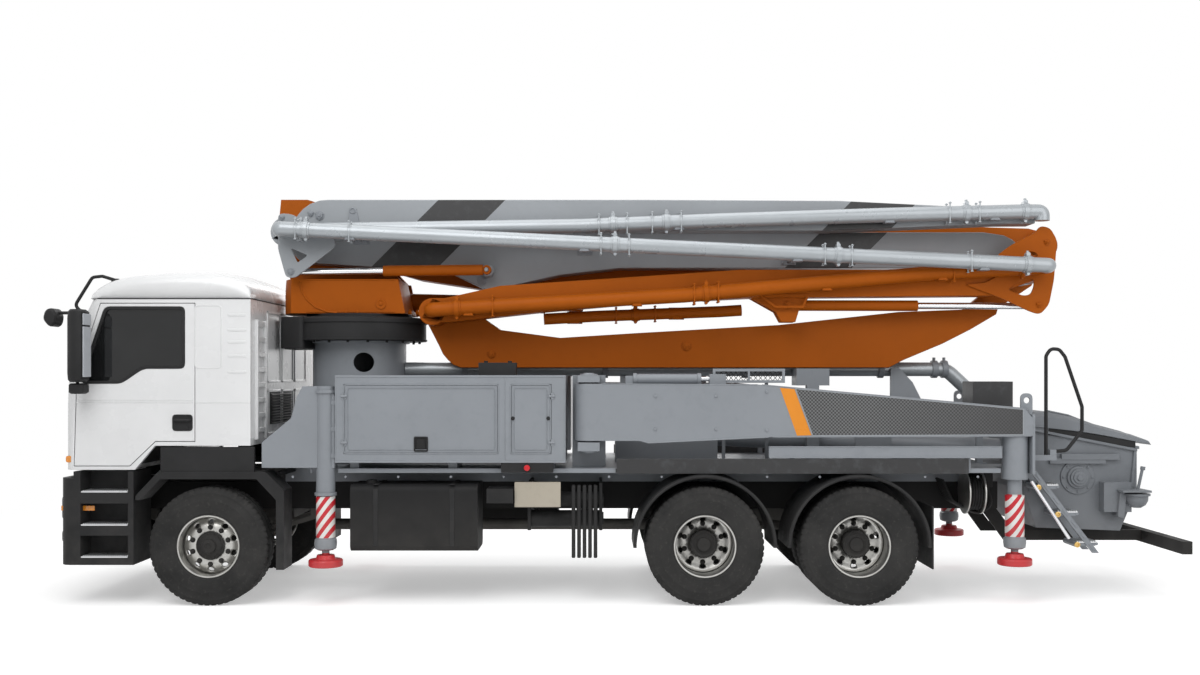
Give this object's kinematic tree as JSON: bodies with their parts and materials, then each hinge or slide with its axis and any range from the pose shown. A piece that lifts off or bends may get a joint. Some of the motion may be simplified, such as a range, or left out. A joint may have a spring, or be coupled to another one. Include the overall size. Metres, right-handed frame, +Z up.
{
  "type": "truck-mounted concrete pump",
  "caption": "Three-axle truck with a folding placing boom on a turret, swing-out legs and a rear concrete hopper.",
  "frame": {"origin": "on the ground under the middle of the machine's box", "axes": "+X to the front, +Y to the driver's left, +Z up"},
  "size_m": [10.422, 3.12, 3.8598],
  "materials": {
    "white_paint": "gloss",
    "black_paint": "satin",
    "grey_paint": "satin",
    "light_grey_paint": "satin",
    "orange_paint": "satin",
    "chrome_rod": "polished",
    "glass": "clear",
    "tyre_rubber": "matte",
    "dark_plastic": "matte",
    "cast_metal": "cast"
  },
  "bodies": {
    "chassis": {"frame_rails": "black_paint", "front_axle": "cast_metal", "rear_axles": "cast_metal", "engine_block": "cast_metal", "side_tanks": "dark_plastic", "bumper_steps": "dark_plastic", "mudguards": "dark_plastic", "deck": "grey_paint", "pedestal": "grey_paint", "slew_ring": "black_paint", "side_boxes": "grey_paint", "leg_housings": "grey_paint", "hopper": "grey_paint", "pump_unit": "grey_paint", "delivery_pipe": "grey_paint", "boom_rest": "grey_paint", "rear_fittings": "black_paint"},
    "cab": {"cab_shell": "white_paint", "cab_roof": "white_paint", "windscreen": "glass", "cab_interior": "dark_plastic"},
    "hopper_grid": {"hopper_grid": "grey_paint"},
    "turret": {"turret": "orange_paint"},
    "boom_1": {"boom_1": "orange_paint", "fold_2_barrel": "orange_paint"},
    "boom_2": {"boom_2": "orange_paint", "fold_3_barrel": "orange_paint"},
    "boom_3": {"boom_3": "orange_paint", "fold_4_barrel": "orange_paint"},
    "boom_4": {"boom_4": "light_grey_paint", "fold_5_barrel": "orange_paint"},
    "boom_5": {"boom_5": "light_grey_paint"},
    "lift_barrel": {"lift_barrel": "orange_paint"},
    "lift_rod": {"lift_rod": "chrome_rod"},
    "fold_2_rod": {"fold_2_rod": "chrome_rod"},
    "fold_3_rod": {"fold_3_rod": "chrome_rod"},
    "fold_4_rod": {"fold_4_rod": "chrome_rod"},
    "fold_5_rod": {"fold_5_rod": "chrome_rod"},
    "door_left": {"door_left": "white_paint", "mirror_left": "dark_plastic"},
    "knuckle_left": {"knuckle_left": "cast_metal"},
    "front_wheel_left": {"front_wheel_left": "tyre_rubber"},
    "mid_wheels_left": {"mid_wheels_left": "tyre_rubber"},
    "rear_wheels_left": {"rear_wheels_left": "tyre_rubber"},
    "front_leg_beam_left": {"front_leg_beam_left": "grey_paint"},
    "rear_leg_arm_left": {"rear_leg_arm_left": "grey_paint"},
    "front_jack_left": {"front_jack_left": "grey_paint"},
    "rear_jack_left": {"rear_jack_left": "grey_paint"},
    "door_right": {"door_right": "white_paint", "mirror_right": "dark_plastic"},
    "knuckle_right": {"knuckle_right": "cast_metal"},
    "front_wheel_right": {"front_wheel_right": "tyre_rubber"},
    "mid_wheels_right": {"mid_wheels_right": "tyre_rubber"},
    "rear_wheels_right": {"rear_wheels_right": "tyre_rubber"},
    "front_leg_beam_right": {"front_leg_beam_right": "grey_paint"},
    "rear_leg_arm_right": {"rear_leg_arm_right": "grey_paint"},
    "front_jack_right": {"front_jack_right": "grey_paint"},
    "rear_jack_right": {"rear_jack_right": "grey_paint"}
  },
  "joints": [
    {"name": "steer_left", "type": "hinge", "parent": "chassis", "child": "knuckle_left", "pos_m": [3.69, 0.85, 0.538], "axis": [0, 0, 1], "range_deg": [-34, 34]},
    {"name": "front_wheel_left_spin", "type": "hinge", "parent": "knuckle_left", "child": "front_wheel_left", "pos_m": [3.69, 1.09, 0.538], "axis": [0, 1, 0], "continuous": true},
    {"name": "mid_wheels_left_spin", "type": "hinge", "parent": "chassis", "child": "mid_wheels_left", "pos_m": [-0.81, 0.92, 0.538], "axis": [0, 1, 0], "continuous": true},
    {"name": "rear_wheels_left_spin", "type": "hinge", "parent": "chassis", "child": "rear_wheels_left", "pos_m": [-2.21, 0.92, 0.538], "axis": [0, 1, 0], "continuous": true},
    {"name": "door_left_swing", "type": "hinge", "parent": "cab", "child": "door_left", "pos_m": [4.911, 1.235, 2], "axis": [0, 0, -1], "range_deg": [0, 75]},
    {"name": "front_leg_left_extend", "type": "slide", "parent": "chassis", "child": "front_leg_beam_left", "axis": [0, 1, 0], "range_m": [0, 1.1]},
    {"name": "rear_leg_left_swing", "type": "hinge", "parent": "chassis", "child": "rear_leg_arm_left", "pos_m": [0.245, 1.07, 1.7], "axis": [0, 0, -1], "range_deg": [0, 90]},
    {"name": "front_jack_left_lower", "type": "slide", "parent": "front_leg_beam_left", "child": "front_jack_left", "axis": [0, 0, -1], "range_m": [0, 0.345]},
    {"name": "rear_jack_left_lower", "type": "slide", "parent": "rear_leg_arm_left", "child": "rear_jack_left", "axis": [0, 0, -1], "range_m": [0, 0.345]},
    {"name": "steer_right", "type": "hinge", "parent": "chassis", "child": "knuckle_right", "pos_m": [3.69, -0.85, 0.538], "axis": [0, 0, 1], "range_deg": [-34, 34]},
    {"name": "front_wheel_right_spin", "type": "hinge", "parent": "knuckle_right", "child": "front_wheel_right", "pos_m": [3.69, -1.09, 0.538], "axis": [0, 1, 0], "continuous": true},
    {"name": "mid_wheels_right_spin", "type": "hinge", "parent": "chassis", "child": "mid_wheels_right", "pos_m": [-0.81, -0.92, 0.538], "axis": [0, 1, 0], "continuous": true},
    {"name": "rear_wheels_right_spin", "type": "hinge", "parent": "chassis", "child": "rear_wheels_right", "pos_m": [-2.21, -0.92, 0.538], "axis": [0, 1, 0], "continuous": true},
    {"name": "door_right_swing", "type": "hinge", "parent": "cab", "child": "door_right", "pos_m": [4.911, -1.235, 2], "axis": [0, 0, 1], "range_deg": [0, 75]},
    {"name": "front_leg_right_extend", "type": "slide", "parent": "chassis", "child": "front_leg_beam_right", "axis": [0, -1, 0], "range_m": [0, 1.1]},
    {"name": "rear_leg_right_swing", "type": "hinge", "parent": "chassis", "child": "rear_leg_arm_right", "pos_m": [0.245, -1.07, 1.7], "axis": [0, 0, 1], "range_deg": [0, 90]},
    {"name": "front_jack_right_lower", "type": "slide", "parent": "front_leg_beam_right", "child": "front_jack_right", "axis": [0, 0, -1], "range_m": [0, 0.345]},
    {"name": "rear_jack_right_lower", "type": "slide", "parent": "rear_leg_arm_right", "child": "rear_jack_right", "axis": [0, 0, -1], "range_m": [0, 0.345]},
    {"name": "cab_tilt", "type": "hinge", "parent": "chassis", "child": "cab", "pos_m": [4.87, 0, 0.9], "axis": [0, 1, 0], "range_deg": [0, 55]},
    {"name": "hopper_grid_open", "type": "hinge", "parent": "chassis", "child": "hopper_grid", "pos_m": [-3.88, 0, 1.66], "axis": [0, 1, 0], "range_deg": [0, 75]},
    {"name": "boom_slew", "type": "hinge", "parent": "chassis", "child": "turret", "pos_m": [2.552, 0, 2.687], "axis": [0, 0, 1], "range_deg": [-90, 90]},
    {"name": "boom_lift", "type": "hinge", "parent": "turret", "child": "boom_1", "pos_m": [3.015, -0.29, 3.6], "axis": [0, 1, 0], "range_deg": [0, 85]},
    {"name": "boom_fold_2", "type": "hinge", "parent": "boom_1", "child": "boom_2", "pos_m": [-4.326, -0.1, 3.4], "axis": [0, -1, 0], "range_deg": [0, 180]},
    {"name": "boom_fold_3", "type": "hinge", "parent": "boom_2", "child": "boom_3", "pos_m": [1.753, 0.27, 2.699], "axis": [0, 1, 0], "range_deg": [0, 158]},
    {"name": "boom_fold_4", "type": "hinge", "parent": "boom_3", "child": "boom_4", "pos_m": [-4.077, 0.27, 3.121], "axis": [0, -1, 0], "range_deg": [0, 180]},
    {"name": "boom_fold_5", "type": "hinge", "parent": "boom_4", "child": "boom_5", "pos_m": [3.162, 0.27, 3.466], "axis": [0, 1, 0], "range_deg": [0, 180]},
    {"name": "lift_barrel_swing", "type": "hinge", "parent": "turret", "child": "lift_barrel", "pos_m": [2.305, -0.29, 2.847], "axis": [0, 1, 0], "range_deg": [0, 85.96]},
    {"name": "lift_rod_stroke", "type": "slide", "parent": "lift_barrel", "child": "lift_rod", "axis": [-0.9997, 0, -0.0245], "range_m": [0, 1.3983]},
    {"name": "fold_2_rod_stroke", "type": "slide", "parent": "boom_1", "child": "fold_2_rod", "axis": [0.9967, 0, 0.0815], "range_m": [0, 0.42]},
    {"name": "fold_3_rod_stroke", "type": "slide", "parent": "boom_2", "child": "fold_3_rod", "axis": [-0.9996, 0, -0.029], "range_m": [0, 0.42]},
    {"name": "fold_4_rod_stroke", "type": "slide", "parent": "boom_3", "child": "fold_4_rod", "axis": [1, 0, 0.0025], "range_m": [0, 0.42]},
    {"name": "fold_5_rod_stroke", "type": "slide", "parent": "boom_4", "child": "fold_5_rod", "axis": [-0.9999, 0, 0.0103], "range_m": [0, 0.42]}
  ],
  "couplings": [
    {"joint": "lift_barrel_swing", "follows": "boom_lift", "ratio": 1.011},
    {"joint": "lift_rod_stroke", "follows": "boom_lift", "m_per_rad": 0.9422},
    {"joint": "boom_fold_3", "follows": "boom_fold_2", "ratio": 0.87772},
    {"joint": "steer_right", "follows": "steer_left", "ratio": 1},
    {"joint": "fold_2_rod_stroke", "follows": "boom_fold_2", "m_per_rad": 0.13305},
    {"joint": "fold_3_rod_stroke", "follows": "boom_fold_2", "m_per_rad": 0.13305},
    {"joint": "fold_4_rod_stroke", "follows": "boom_fold_4", "m_per_rad": 0.13305},
    {"joint": "fold_5_rod_stroke", "follows": "boom_fold_5", "m_per_rad": 0.13305}
  ]
}
